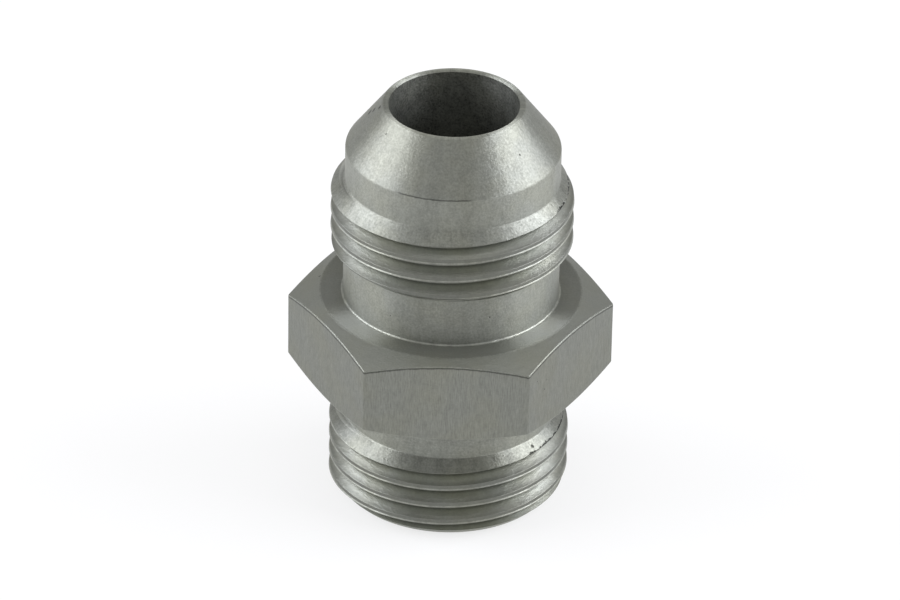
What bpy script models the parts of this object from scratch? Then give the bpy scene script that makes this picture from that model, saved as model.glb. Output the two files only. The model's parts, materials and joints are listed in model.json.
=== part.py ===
"""A straight adapter fitting, turned in one piece from hexagon bar.

The upper end is a 37 degree flared-tube end: a cone that the tube's flare
seats on, a plain nose and a straight thread for the tube nut. The lower end
is a stud with the same straight thread and a plain neck under the hexagon,
where a sealing ring sits when the stud is screwed into a port. One bore runs
through the whole length.

Lengths are in metres, +Z is up, and the origin is the centre of the lower end
face. Two flats of the hexagon face -Y and +Y.
"""
import math

import bmesh
import bpy
from mathutils import Matrix

MM = 0.001

# Hexagon: 7/8 inch across flats, its corners chamfered outside a flat ring
# at the top and outside the smaller seat that meets the port
HEX_ACROSS_FLATS = 22.225 * MM
HEX_THICKNESS = 7.56 * MM
HEX_RING_DIAMETER = 20.56 * MM
HEX_SEAT_DIAMETER = 19.2 * MM
HEX_CHAMFER_ANGLE = math.radians(21.0)
HEX_BAR_ALLOWANCE = 0.5 * MM

# Thread, the same on both ends: 3/4 inch, 16 turns to the inch, right hand
THREAD_DIAMETER = 19.05 * MM
THREAD_PITCH = 1.5875 * MM
THREAD_DEPTH_IN_PITCHES = 0.6134
THREAD_CREST_IN_PITCHES = 0.23
THREAD_FLANK_ANGLE = math.radians(30.0)
THREAD_START_ANGLE = math.radians(45.0)
THREAD_END_ANGLE = math.radians(38.0)
THREAD_LEAD_IN = 1.42 * MM

# Necks, a little under the thread's root so that the cutter runs out freely
NECK_BELOW_ROOT = 0.05 * MM
NECK_FILLET = 0.16 * MM

# Flared-tube end, above the hexagon
FLARE_END_LENGTH = 16.84 * MM
FLARE_NECK_LENGTH = 4.08 * MM
FLARE_NOSE_LENGTH = 2.65 * MM
FLARE_NOSE_BELOW_ROOT = 0.135 * MM
FLARE_HALF_ANGLE = math.radians(37.0)
FLARE_LIP_WIDTH = 0.30 * MM

# Port stud, below the hexagon
STUD_LENGTH = 9.92 * MM
STUD_NECK_LENGTH = 2.82 * MM
STUD_END_BELOW_ROOT = 0.20 * MM
STUD_END_CHAMFER_ANGLE = math.radians(45.0)

# Bore
BORE_DIAMETER = 10.2 * MM
BORE_MOUTH_CHAMFER = 0.12 * MM

# Finish of the satin grey plated steel
STEEL_COLOUR = (0.33, 0.34, 0.32, 1.0)
STEEL_ROUGHNESS = 0.42
STEEL_METALLIC = 1.0

# How finely round shapes are divided
SEGMENTS = 60
FILLET_STEPS = 4
SMOOTH_ANGLE = math.radians(25.0)
WELD_DISTANCE = 0.001 * MM

# Places that follow from the sizes above
HEX_BOTTOM = STUD_LENGTH
HEX_TOP = HEX_BOTTOM + HEX_THICKNESS
TOTAL_LENGTH = HEX_TOP + FLARE_END_LENGTH
HEX_CORNER_RADIUS = HEX_ACROSS_FLATS / 2.0 / math.cos(math.pi / 6.0)
HEX_RING_RADIUS = HEX_RING_DIAMETER / 2.0
HEX_SEAT_RADIUS = HEX_SEAT_DIAMETER / 2.0
THREAD_RADIUS = THREAD_DIAMETER / 2.0
ROOT_RADIUS = THREAD_RADIUS - THREAD_DEPTH_IN_PITCHES * THREAD_PITCH
NECK_RADIUS = ROOT_RADIUS - NECK_BELOW_ROOT
NOSE_RADIUS = ROOT_RADIUS - FLARE_NOSE_BELOW_ROOT
STUD_END_RADIUS = ROOT_RADIUS - STUD_END_BELOW_ROOT
BORE_RADIUS = BORE_DIAMETER / 2.0
MOUTH_RADIUS = BORE_RADIUS + BORE_MOUTH_CHAMFER
LIP_RADIUS = MOUTH_RADIUS + FLARE_LIP_WIDTH
CONE_BASE = TOTAL_LENGTH - (NOSE_RADIUS - LIP_RADIUS) / math.tan(FLARE_HALF_ANGLE)
FLARE_THREAD_TOP = CONE_BASE - FLARE_NOSE_LENGTH
FLARE_THREAD_BOTTOM = HEX_TOP + FLARE_NECK_LENGTH
STUD_THREAD_TOP = HEX_BOTTOM - STUD_NECK_LENGTH


def clear_scene():
    """Remove whatever the file opened with."""
    for thing in list(bpy.data.objects):
        bpy.data.objects.remove(thing, do_unlink=True)


def neck_fillet(face_height, side):
    """Quarter round from the hexagon's face to a neck.

    side is +1 where the neck stands on the face and -1 where it hangs below.
    """
    points = []
    for step in range(FILLET_STEPS + 1):
        turn = math.pi / 2.0 * step / FILLET_STEPS
        radius = NECK_RADIUS + NECK_FILLET * (1.0 - math.sin(turn))
        height = face_height + side * NECK_FILLET * (1.0 - math.cos(turn))
        points.append((radius, height))
    return points


def stud_outline():
    """Outline (radius, height) of the port stud, from its end face up."""
    end_rise = (THREAD_RADIUS - STUD_END_RADIUS) * math.tan(STUD_END_CHAMFER_ANGLE)
    start_drop = (THREAD_RADIUS - NECK_RADIUS) * math.tan(THREAD_START_ANGLE)
    outline = [
        (STUD_END_RADIUS, 0.0),
        (THREAD_RADIUS, end_rise),
        (THREAD_RADIUS, STUD_THREAD_TOP - start_drop),
        (NECK_RADIUS, STUD_THREAD_TOP),
    ]
    outline += reversed(neck_fillet(HEX_BOTTOM, -1.0))
    return outline


def hexagon_outline():
    """Turned outline that chamfers the hexagon's corners at both ends."""
    outer_radius = HEX_CORNER_RADIUS + HEX_BAR_ALLOWANCE
    lower_rise = (outer_radius - HEX_SEAT_RADIUS) * math.tan(HEX_CHAMFER_ANGLE)
    upper_drop = (outer_radius - HEX_RING_RADIUS) * math.tan(HEX_CHAMFER_ANGLE)
    return [
        (HEX_SEAT_RADIUS, HEX_BOTTOM),
        (outer_radius, HEX_BOTTOM + lower_rise),
        (outer_radius, HEX_TOP - upper_drop),
        (HEX_RING_RADIUS, HEX_TOP),
    ]


def flare_end_outline():
    """Outline (radius, height) of the flared-tube end, from the hexagon up."""
    end_rise = (THREAD_RADIUS - NECK_RADIUS) * math.tan(THREAD_END_ANGLE)
    start_drop = (THREAD_RADIUS - NOSE_RADIUS) * math.tan(THREAD_START_ANGLE)
    outline = neck_fillet(HEX_TOP, 1.0)
    outline += [
        (NECK_RADIUS, FLARE_THREAD_BOTTOM),
        (THREAD_RADIUS, FLARE_THREAD_BOTTOM + end_rise),
        (THREAD_RADIUS, FLARE_THREAD_TOP - start_drop),
        (NOSE_RADIUS, FLARE_THREAD_TOP),
        (NOSE_RADIUS, CONE_BASE),
        (LIP_RADIUS, TOTAL_LENGTH),
    ]
    return outline


def bore_outline():
    """Outline of the bore, from the flare lip down to the stud's end."""
    return [
        (MOUTH_RADIUS, TOTAL_LENGTH),
        (BORE_RADIUS, TOTAL_LENGTH - BORE_MOUTH_CHAMFER),
        (BORE_RADIUS, BORE_MOUTH_CHAMFER),
        (MOUTH_RADIUS, 0.0),
    ]


def groove_outline():
    """Section of the thread groove, centred on height 0.

    It is made deeper than the crest by a small clearance, so that the cutter
    stands proud of the blank without its turns meeting.
    """
    clearance = THREAD_PITCH * THREAD_CREST_IN_PITCHES / 2.0
    slope = math.tan(THREAD_FLANK_ANGLE)
    half_mouth = THREAD_PITCH * (1.0 - THREAD_CREST_IN_PITCHES) / 2.0
    half_root = half_mouth - (THREAD_RADIUS - ROOT_RADIUS) * slope
    half_outer = half_mouth + clearance * slope
    return [
        (ROOT_RADIUS, -half_root),
        (THREAD_RADIUS + clearance, -half_outer),
        (THREAD_RADIUS + clearance, half_outer),
        (ROOT_RADIUS, half_root),
    ]


def add_solid(name, form):
    """Put a finished bmesh into the scene as a named object."""
    bmesh.ops.recalc_face_normals(form, faces=form.faces)
    mesh = bpy.data.meshes.new(name)
    form.to_mesh(mesh)
    form.free()
    solid = bpy.data.objects.new(name, mesh)
    bpy.context.scene.collection.objects.link(solid)
    return solid


def add_outline(form, outline):
    """Draw a closed (radius, height) outline in the half plane of +X."""
    corners = [form.verts.new((radius, 0.0, height)) for radius, height in outline]
    following = corners[1:] + corners[:1]
    edges = [form.edges.new(pair) for pair in zip(corners, following)]
    return corners, edges


def turned_ring(name, outline):
    """Solid of one full turn of an outline about the Z axis."""
    form = bmesh.new()
    corners, edges = add_outline(form, outline)
    bmesh.ops.spin(
        form,
        geom=corners + edges,
        axis=(0.0, 0.0, 1.0),
        angle=2.0 * math.pi,
        steps=SEGMENTS,
        use_merge=True,
    )
    return add_solid(name, form)


def helical_cutter(name, outline, steps):
    """Solid of an outline that climbs one pitch in each turn, right hand."""
    form = bmesh.new()
    corners, edges = add_outline(form, outline)
    section = form.faces.new(corners)
    bmesh.ops.spin(
        form,
        geom=corners + edges + [section],
        axis=(0.0, 0.0, 1.0),
        dvec=(0.0, 0.0, THREAD_PITCH / SEGMENTS),
        angle=2.0 * math.pi * steps / SEGMENTS,
        steps=steps,
    )
    return add_solid(name, form)


def thread_cutter(name, thread_bottom, thread_top):
    """Cutter for one thread, its first groove placed at the front, on -Y.

    It runs half a pitch past the thread at both ends.
    """
    front_height = thread_top - THREAD_LEAD_IN
    run_out = THREAD_PITCH / 2.0
    climb = THREAD_PITCH / SEGMENTS
    steps_below = math.ceil((front_height - thread_bottom + run_out) / climb)
    steps_above = math.ceil((THREAD_LEAD_IN + run_out) / climb)
    start = front_height - steps_below * climb
    outline = [(radius, start + height) for radius, height in groove_outline()]
    cutter = helical_cutter(name, outline, steps_below + steps_above)
    cutter.rotation_euler.z = -math.pi / 2.0 - 2.0 * math.pi * steps_below / SEGMENTS
    return cutter


def hexagon_bar():
    """The bar that the piece is turned from, longer than the piece."""
    form = bmesh.new()
    half_way = Matrix.Translation((0.0, 0.0, TOTAL_LENGTH / 2.0))
    flats_to_front = Matrix.Rotation(math.pi / 6.0, 4, 'Z')
    bmesh.ops.create_cone(
        form,
        cap_ends=True,
        segments=6,
        radius1=HEX_CORNER_RADIUS,
        radius2=HEX_CORNER_RADIUS,
        depth=2.0 * TOTAL_LENGTH,
        matrix=half_way @ flats_to_front,
    )
    return add_solid("hexagon_bar", form)


def add_boolean(body, tool, operation):
    """Shape the body with a tool, and leave the tool out of the model."""
    modifier = body.modifiers.new(tool.name, 'BOOLEAN')
    modifier.operation = operation
    modifier.solver = 'EXACT'
    modifier.object = tool
    tool.hide_render = True
    tool.display_type = 'WIRE'


def add_clean_up(body):
    """Join the points that the cuts leave almost on each other, then divide
    each face into triangles that aren't slivers."""
    weld = body.modifiers.new("weld", 'WELD')
    weld.merge_threshold = WELD_DISTANCE
    triangulate = body.modifiers.new("triangulate", 'TRIANGULATE')
    triangulate.quad_method = 'BEAUTY'
    triangulate.ngon_method = 'BEAUTY'


def plated_steel():
    """Satin grey plated steel."""
    material = bpy.data.materials.new("plated_steel")
    material.use_nodes = True
    shader = material.node_tree.nodes["Principled BSDF"]
    shader.inputs["Base Color"].default_value = STEEL_COLOUR
    shader.inputs["Roughness"].default_value = STEEL_ROUGHNESS
    shader.inputs["Metallic"].default_value = STEEL_METALLIC
    return material


def adapter_body():
    """The whole fitting: turned and bored, cut from the bar, then threaded."""
    outline = stud_outline() + hexagon_outline() + flare_end_outline() + bore_outline()
    body = turned_ring("adapter_body", outline)
    add_boolean(body, hexagon_bar(), 'INTERSECT')
    flare_cutter = thread_cutter("flare_thread_cutter", FLARE_THREAD_BOTTOM, FLARE_THREAD_TOP)
    add_boolean(body, flare_cutter, 'DIFFERENCE')
    stud_cutter = thread_cutter("stud_thread_cutter", 0.0, STUD_THREAD_TOP)
    add_boolean(body, stud_cutter, 'DIFFERENCE')
    add_clean_up(body)
    body.data.materials.append(plated_steel())
    body.data.shade_smooth()
    body.data.set_sharp_from_angle(angle=SMOOTH_ANGLE)
    return body


def main():
    clear_scene()
    adapter_body()


main()
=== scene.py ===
# %% [markdown]
# # A straight adapter fitting in satin plated steel
#
# A fitting like this joins a flared tube to a threaded port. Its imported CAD
# model is loaded first and stays where it is, because others rely on its
# sizes. Everything below only adds the looks: a camera, a finer model of the
# same piece, its finish, a pale stage and soft lamps.

import json
import math

import bmesh
import bpy
from mathutils import Matrix, Vector

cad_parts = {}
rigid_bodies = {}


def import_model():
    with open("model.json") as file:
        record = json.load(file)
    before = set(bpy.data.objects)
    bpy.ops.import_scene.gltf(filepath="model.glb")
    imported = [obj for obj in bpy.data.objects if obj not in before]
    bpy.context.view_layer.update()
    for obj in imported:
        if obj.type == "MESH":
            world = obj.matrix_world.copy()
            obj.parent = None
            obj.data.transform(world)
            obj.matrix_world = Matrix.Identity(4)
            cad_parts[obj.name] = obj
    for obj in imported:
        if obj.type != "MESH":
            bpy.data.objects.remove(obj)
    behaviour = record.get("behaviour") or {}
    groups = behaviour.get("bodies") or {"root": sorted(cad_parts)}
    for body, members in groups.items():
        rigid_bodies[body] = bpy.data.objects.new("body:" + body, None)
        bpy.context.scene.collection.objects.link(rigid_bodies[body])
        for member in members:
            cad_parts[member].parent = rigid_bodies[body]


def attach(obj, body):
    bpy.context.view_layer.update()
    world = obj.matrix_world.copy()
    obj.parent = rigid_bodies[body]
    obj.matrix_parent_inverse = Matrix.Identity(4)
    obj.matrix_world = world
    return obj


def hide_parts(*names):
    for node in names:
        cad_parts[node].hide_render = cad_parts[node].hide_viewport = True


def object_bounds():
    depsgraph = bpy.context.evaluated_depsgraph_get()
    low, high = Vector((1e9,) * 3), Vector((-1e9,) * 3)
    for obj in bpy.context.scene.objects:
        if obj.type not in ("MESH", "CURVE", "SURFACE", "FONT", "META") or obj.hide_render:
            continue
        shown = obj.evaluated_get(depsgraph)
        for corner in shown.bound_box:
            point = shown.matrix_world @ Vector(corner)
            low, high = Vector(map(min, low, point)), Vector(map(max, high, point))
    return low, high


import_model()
cad_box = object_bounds()
MM = 0.001
print("CAD box in mm:", [[round(c / MM, 2) for c in corner] for corner in cad_box])

# %% [markdown]
# ## The camera
#
# The picture looks down on the fitting from 31.5 degrees above the table with
# a long lens, as small turned parts are photographed for a catalogue. The
# camera stands a degree to the right of the hexagon's front flat and leans a
# degree to the left, so the upright fitting leans a little to the right. A
# camera could be aimed with a Track To constraint, but that keeps it upright.
# Here its three axes are worked out instead, because they also hold the lean.

# %% Camera
CAMERA_ELEVATION = math.radians(31.548)
CAMERA_AZIMUTH = math.radians(-90.0 + 1.106)
CAMERA_LEAN = math.radians(1.057)
CAMERA_DISTANCE = 519.8 * MM
CAMERA_AIM_HEIGHT = 16.395 * MM
CAMERA_STEP_RIGHT = -0.051 * MM
CAMERA_STEP_UP = 0.035 * MM
CAMERA_LENS = 263.87
CAMERA_SENSOR = 36.0
CAMERA_NEAREST = 10.0 * MM
CAMERA_FARTHEST = 10.0


def direction(azimuth, elevation):
    """Unit vector from the fitting towards a camera or a lamp."""
    level = math.cos(elevation)
    return Vector((level * math.cos(azimuth), level * math.sin(azimuth), math.sin(elevation)))


def add_camera():
    back = direction(CAMERA_AZIMUTH, CAMERA_ELEVATION)
    right = Vector((-math.sin(CAMERA_AZIMUTH), math.cos(CAMERA_AZIMUTH), 0.0))
    up = back.cross(right)
    turned_right = right * math.cos(CAMERA_LEAN) + up * math.sin(CAMERA_LEAN)
    turned_up = up * math.cos(CAMERA_LEAN) - right * math.sin(CAMERA_LEAN)
    data = bpy.data.cameras.new("camera")
    data.lens = CAMERA_LENS
    data.sensor_width = CAMERA_SENSOR
    data.sensor_fit = 'HORIZONTAL'
    data.clip_start = CAMERA_NEAREST
    data.clip_end = CAMERA_FARTHEST
    camera = bpy.data.objects.new("camera", data)
    bpy.context.scene.collection.objects.link(camera)
    aim = Vector((0.0, 0.0, CAMERA_AIM_HEIGHT)) + turned_right * CAMERA_STEP_RIGHT
    aim += turned_up * CAMERA_STEP_UP
    axes = Matrix((turned_right, turned_up, back)).transposed().to_4x4()
    axes.translation = aim + back * CAMERA_DISTANCE
    camera.matrix_world = axes
    bpy.context.scene.camera = camera
    return camera


camera = add_camera()
print("camera at", [round(c, 4) for c in camera.location])

# %% [markdown]
# ## Sizes
#
# These are the real sizes of the fitting, the same as in the CAD model: two
# threads of 3/4 inch with 16 turns to the inch, on a 7/8 inch hexagon. The
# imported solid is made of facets, so its round faces can't be measured from it.
# The fine model therefore repeats the driving sizes, and takes only the whole
# length from the frame.

# %% Sizes of the hexagon and the threads
HEX_ACROSS_FLATS = 22.225 * MM
HEX_RING_RADIUS = 10.28 * MM
HEX_SEAT_RADIUS = 9.60 * MM
HEX_CHAMFER_ANGLE = math.radians(21.0)
HEX_BOTTOM = 9.92 * MM
HEX_TOP = 17.48 * MM
HEX_CORNER_RADIUS = HEX_ACROSS_FLATS / 2.0 / math.cos(math.pi / 6.0)

THREAD_RADIUS = 9.525 * MM
THREAD_PITCH = 1.5875 * MM
THREAD_DEPTH = 0.6134 * THREAD_PITCH
THREAD_CREST = 0.23 * THREAD_PITCH
THREAD_START_ANGLE = math.radians(45.0)
THREAD_END_ANGLE = math.radians(38.0)
THREAD_LEAD_IN = 1.42 * MM
ROOT_RADIUS = THREAD_RADIUS - THREAD_DEPTH
print("hexagon", round((HEX_TOP - HEX_BOTTOM) / MM, 2), "mm thick, thread root", round(ROOT_RADIUS / MM, 3))

# %% Sizes of the necks, the bore and the flared end
TOTAL_LENGTH = cad_box[1][2] - cad_box[0][2]
NECK_RADIUS = ROOT_RADIUS - 0.05 * MM
NECK_FILLET = 0.16 * MM
NOSE_RADIUS = ROOT_RADIUS - 0.135 * MM
STUD_END_RADIUS = ROOT_RADIUS - 0.20 * MM
BORE_RADIUS = 5.10 * MM
MOUTH_CHAMFER = 0.12 * MM
MOUTH_RADIUS = BORE_RADIUS + MOUTH_CHAMFER
LIP_RADIUS = MOUTH_RADIUS + 0.30 * MM
FLARE_HALF_ANGLE = math.radians(37.0)

CONE_BASE = TOTAL_LENGTH - (NOSE_RADIUS - LIP_RADIUS) / math.tan(FLARE_HALF_ANGLE)
FLARE_THREAD_TOP = CONE_BASE - 2.65 * MM
FLARE_THREAD_BOTTOM = HEX_TOP + 4.08 * MM
STUD_THREAD_TOP = HEX_BOTTOM - 2.82 * MM
print("upper thread from", round(FLARE_THREAD_BOTTOM / MM, 2), "to", round(FLARE_THREAD_TOP / MM, 2), "mm")

# %% [markdown]
# ## Helpers for modelling by hand
#
# Blender's modelling tools act on whatever is selected, and a new object comes
# selected all over. So each step clears the selection first and then picks
# edges or faces by where they are, as one would click them on the screen. An
# outline could be typed in as a finished mesh. Here it is drawn the way a hand
# would draw it: one point, extruded from place to place.

# %% Selecting
WELD_DISTANCE = 0.001 * MM
PLACE_TOLERANCE = 0.01 * MM


def reach(point):
    """Distance of a point from the bore's axis."""
    return math.hypot(point.x, point.y)


def deselect_everything():
    for thing in bpy.context.view_layer.objects:
        thing.select_set(False)


def make_active(piece):
    """Make one object active and alone in the selection."""
    deselect_everything()
    bpy.context.view_layer.objects.active = piece
    piece.select_set(True)


def work_on(piece):
    make_active(piece)
    bpy.ops.object.mode_set(mode='EDIT')


def stop_editing():
    bpy.ops.object.mode_set(mode='OBJECT')


def pick(piece, kind, wanted):
    """Select the edges or faces that pass a test, and say how many there are."""
    bpy.ops.mesh.select_mode(type=kind)
    bpy.ops.mesh.select_all(action='DESELECT')
    form = bmesh.from_edit_mesh(piece.data)
    parts = {'EDGE': form.edges, 'FACE': form.faces}[kind]
    chosen = [part for part in parts if wanted(part)]
    for part in chosen:
        part.select_set(True)
    bmesh.update_edit_mesh(piece.data)
    return len(chosen)


def merge_doubles(distance):
    bpy.ops.mesh.select_all(action='SELECT')
    bpy.ops.mesh.remove_doubles(threshold=distance)


def apply_modifier(piece, kind, **settings):
    """Give the active piece a modifier with these settings, and apply it."""
    bpy.ops.object.modifier_add(type=kind)
    modifier = piece.modifiers[-1]
    for title, value in settings.items():
        setattr(modifier, title, value)
    bpy.ops.object.modifier_apply(modifier=modifier.name)


# %% Drawing an outline


def draw_outline(name, points):
    """A line of points in the plane of X and Z, drawn by extruding one vertex."""
    # A circle of three points, merged at its centre, gives the first vertex.
    deselect_everything()
    bpy.ops.mesh.primitive_circle_add(vertices=3, radius=THREAD_PITCH)
    line = bpy.context.active_object
    line.name = name
    bpy.ops.object.mode_set(mode='EDIT')
    bpy.ops.mesh.select_mode(type='VERT')
    bpy.ops.mesh.select_all(action='SELECT')
    bpy.ops.mesh.merge(type='CENTER')
    place = Vector((0.0, 0.0, 0.0))
    for index, (radius, height) in enumerate(points):
        target = Vector((radius, 0.0, height))
        step = {"value": target - place}
        if index == 0:
            bpy.ops.transform.translate(**step)
        else:
            bpy.ops.mesh.extrude_vertices_move(TRANSFORM_OT_translate=step)
        place = target
    return line


def rounded(before, corner, after, radius, steps):
    """Points of a round of the given radius in place of a sharp corner."""
    corner = Vector(corner)
    first = (Vector(before) - corner).normalized()
    second = (Vector(after) - corner).normalized()
    half = first.angle(second) / 2.0
    centre = corner + (first + second).normalized() * (radius / math.sin(half))
    start = corner + first * (radius / math.tan(half)) - centre
    end = corner + second * (radius / math.tan(half)) - centre
    sweep = start.angle_signed(end)
    points = []
    for step in range(steps + 1):
        arm = start.copy()
        arm.rotate(Matrix.Rotation(-sweep * step / steps, 2))
        points.append(tuple(centre + arm))
    return points


# %% [markdown]
# ## The turned blank
#
# The real fitting starts as a length of hexagon bar in a lathe, which turns all
# its round faces. It could be built up from cylinders and cones, but they would
# have to be joined one by one. One outline, spun round the axis, gives every
# turned face and the bore together. Where the threads will be, the blank is
# left a little too fat, because the thread tool below sets the final diameter.

# %% Outline of the blank
SIDES = 192
THREAD_STOCK = 0.3 * MM
HEXAGON_STOCK = 0.5 * MM
BLANK_RADIUS = THREAD_RADIUS + THREAD_STOCK
FILLET_STEPS = 5


def slope_height(near_radius, near_height, angle, side):
    """Height where a conical face that starts at a near radius and height
    reaches the blank's radius. side is 1 for upwards and -1 for downwards."""
    return near_height + side * (BLANK_RADIUS - near_radius) * math.tan(angle)


def stud_outline():
    lower_fillet = rounded((NECK_RADIUS, 0.0), (NECK_RADIUS, HEX_BOTTOM), (HEX_SEAT_RADIUS, HEX_BOTTOM),
                           NECK_FILLET, FILLET_STEPS)
    return [
        (MOUTH_RADIUS, 0.0),
        (STUD_END_RADIUS, 0.0),
        (BLANK_RADIUS, BLANK_RADIUS - STUD_END_RADIUS),
        (BLANK_RADIUS, slope_height(NECK_RADIUS, STUD_THREAD_TOP, THREAD_START_ANGLE, -1)),
        (NECK_RADIUS, STUD_THREAD_TOP),
    ] + lower_fillet


def hexagon_outline():
    outer = HEX_CORNER_RADIUS + HEXAGON_STOCK
    return [
        (HEX_SEAT_RADIUS, HEX_BOTTOM),
        (outer, HEX_BOTTOM + (outer - HEX_SEAT_RADIUS) * math.tan(HEX_CHAMFER_ANGLE)),
        (outer, HEX_TOP - (outer - HEX_RING_RADIUS) * math.tan(HEX_CHAMFER_ANGLE)),
        (HEX_RING_RADIUS, HEX_TOP),
    ]


def flare_outline():
    upper_fillet = rounded((HEX_RING_RADIUS, HEX_TOP), (NECK_RADIUS, HEX_TOP), (NECK_RADIUS, TOTAL_LENGTH),
                           NECK_FILLET, FILLET_STEPS)
    return upper_fillet + [
        (NECK_RADIUS, FLARE_THREAD_BOTTOM),
        (BLANK_RADIUS, slope_height(NECK_RADIUS, FLARE_THREAD_BOTTOM, THREAD_END_ANGLE, 1)),
        (BLANK_RADIUS, slope_height(NOSE_RADIUS, FLARE_THREAD_TOP, THREAD_START_ANGLE, -1)),
        (NOSE_RADIUS, FLARE_THREAD_TOP),
        (NOSE_RADIUS, CONE_BASE),
        (LIP_RADIUS, TOTAL_LENGTH),
    ]


def bore_outline():
    return [
        (MOUTH_RADIUS, TOTAL_LENGTH),
        (BORE_RADIUS, TOTAL_LENGTH - MOUTH_CHAMFER),
        (BORE_RADIUS, MOUTH_CHAMFER),
        (MOUTH_RADIUS, 0.0),
    ]


blank_outline = stud_outline() + hexagon_outline() + flare_outline() + bore_outline()
print("outline of the blank:", len(blank_outline), "points")

# %% Spin the outline into a solid


def spin_blank():
    blank = draw_outline("adapter_body_fine", blank_outline)
    merge_doubles(WELD_DISTANCE)
    bpy.ops.mesh.spin(steps=SIDES, angle=2.0 * math.pi, center=(0.0, 0.0, 0.0), axis=(0.0, 0.0, 1.0))
    merge_doubles(WELD_DISTANCE)
    bpy.ops.mesh.normals_make_consistent(inside=False)
    return blank


fitting = spin_blank()
print("blank:", len(bmesh.from_edit_mesh(fitting.data).faces), "faces")

# %% [markdown]
# ## Broken edges
#
# No edge of a real turned part is perfectly sharp. The rings where two turned
# faces meet get a small bevel each, which later catches a thin line of light.
# A Bevel modifier could break every edge at once by its angle, but each ring
# has a width of its own, so they are picked one after another.

# %% Break the turned edges
EDGE_BREAKS = [
    (STUD_END_RADIUS, 0.0, 0.10 * MM),
    (HEX_SEAT_RADIUS, HEX_BOTTOM, 0.10 * MM),
    (HEX_RING_RADIUS, HEX_TOP, 0.10 * MM),
    (NOSE_RADIUS, CONE_BASE, 0.10 * MM),
    (NOSE_RADIUS, FLARE_THREAD_TOP, 0.08 * MM),
    (NECK_RADIUS, STUD_THREAD_TOP, 0.08 * MM),
    (NECK_RADIUS, FLARE_THREAD_BOTTOM, 0.08 * MM),
    (LIP_RADIUS, TOTAL_LENGTH, 0.08 * MM),
    (MOUTH_RADIUS, TOTAL_LENGTH, 0.03 * MM),
]


def on_ring(edge, radius, height):
    """True for an edge that runs round the axis at this radius and height."""
    for corner in edge.verts:
        if abs(reach(corner.co) - radius) > PLACE_TOLERANCE:
            return False
        if abs(corner.co.z - height) > PLACE_TOLERANCE:
            return False
    return True


for radius, height, width in EDGE_BREAKS:
    count = pick(fitting, 'EDGE', lambda edge: on_ring(edge, radius, height))
    bpy.ops.mesh.bevel(offset=width, segments=3, affect='EDGES')
    print("ring at", round(radius / MM, 2), round(height / MM, 2), "mm:", count, "edges")
stop_editing()

# %% [markdown]
# ## The threads
#
# A thread is a groove that climbs one pitch in each turn. Stacked rings would
# look much the same from far away, but their crests would never run out as the
# real ones do at both ends of a thread. So the section is drawn from the
# middle of one crest to the middle of the next, and a Screw modifier winds it
# up the axis. The die raised a fine ridge along the lower edge of each crest,
# which glints in the lamps. The wound sheet is trimmed level at both ends and
# closed into a nut, and the nut's metal is taken away from the blank, as a
# threading die does.

# %% Section of the thread
FLANK_ANGLE = math.radians(30.0)
CREST_ROUND = 0.03 * MM
ROOT_ROUND = 0.08 * MM
RIDGE_HEIGHT = 0.055 * MM
RIDGE_SLOPE = 0.11 * MM
CREST_RADIUS = THREAD_RADIUS - RIDGE_HEIGHT
ROUND_STEPS = 4
RIDGE_STEPS = 2


def thread_section():
    """Points (radius, height) from one crest's middle up to the next one's."""
    crest_half = THREAD_CREST / 2.0
    root_edge = (ROOT_RADIUS, crest_half + THREAD_DEPTH * math.tan(FLANK_ANGLE))
    middle = (ROOT_RADIUS, THREAD_PITCH / 2.0)
    upper_edge = (CREST_RADIUS, crest_half + RIDGE_HEIGHT * math.tan(FLANK_ANGLE))
    section = [(CREST_RADIUS, 0.0)]
    section += rounded((CREST_RADIUS, 0.0), upper_edge, root_edge, CREST_ROUND, ROUND_STEPS)
    section += rounded(upper_edge, root_edge, middle, ROOT_ROUND, ROUND_STEPS)
    ridge = (THREAD_RADIUS, crest_half)
    ridge_foot = (CREST_RADIUS, crest_half - RIDGE_SLOPE)
    back = [(CREST_RADIUS, 0.0), ridge_foot]
    back += rounded(ridge_foot, ridge, root_edge, CREST_ROUND / 2.0, RIDGE_STEPS)
    back += rounded(ridge, root_edge, middle, ROOT_ROUND, ROUND_STEPS)
    section += [(radius, THREAD_PITCH - height) for radius, height in reversed(back)]
    return section


print("section of the thread:", len(thread_section()), "points")

# %% Wind the section into a sheet
SPARE_TURNS = 3
SHEET_WELD = 0.002 * MM
CUT_TOLERANCE = 0.0001 * MM


def wind_sheet(name, groove_height, turns_below, turns_above):
    """A wound sheet, placed so that the middle of a groove crosses the front
    at groove_height."""
    sheet = draw_outline(name, thread_section())
    stop_editing()
    apply_modifier(sheet, 'SCREW', axis='Z', angle=2.0 * math.pi, screw_offset=THREAD_PITCH,
                   iterations=turns_below + turns_above + SPARE_TURNS,
                   steps=SIDES, render_steps=SIDES, use_merge_vertices=False)
    work_on(sheet)
    merge_doubles(SHEET_WELD)
    bpy.ops.transform.rotate(value=math.pi / 2.0, orient_axis='Z', center_override=(0.0, 0.0, 0.0))
    lift = groove_height - (turns_below + SPARE_TURNS / 2.0) * THREAD_PITCH
    bpy.ops.transform.translate(value=(0.0, 0.0, lift))
    return sheet


def trim_sheet(bottom, top):
    """Cut the sheet level, below at the bottom and above at the top."""
    for height in (bottom, top):
        bpy.ops.mesh.select_all(action='SELECT')
        bpy.ops.mesh.bisect(plane_co=(0.0, 0.0, height), plane_no=(0.0, 0.0, 1.0), threshold=CUT_TOLERANCE,
                            clear_inner=height == bottom, clear_outer=height == top)


# %% Close the sheet into a nut
NUT_SPREAD = 1.17


def on_rim(edge, height):
    level = all(abs(corner.co.z - height) < WELD_DISTANCE for corner in edge.verts)
    return level and len(edge.link_faces) == 1


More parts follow.
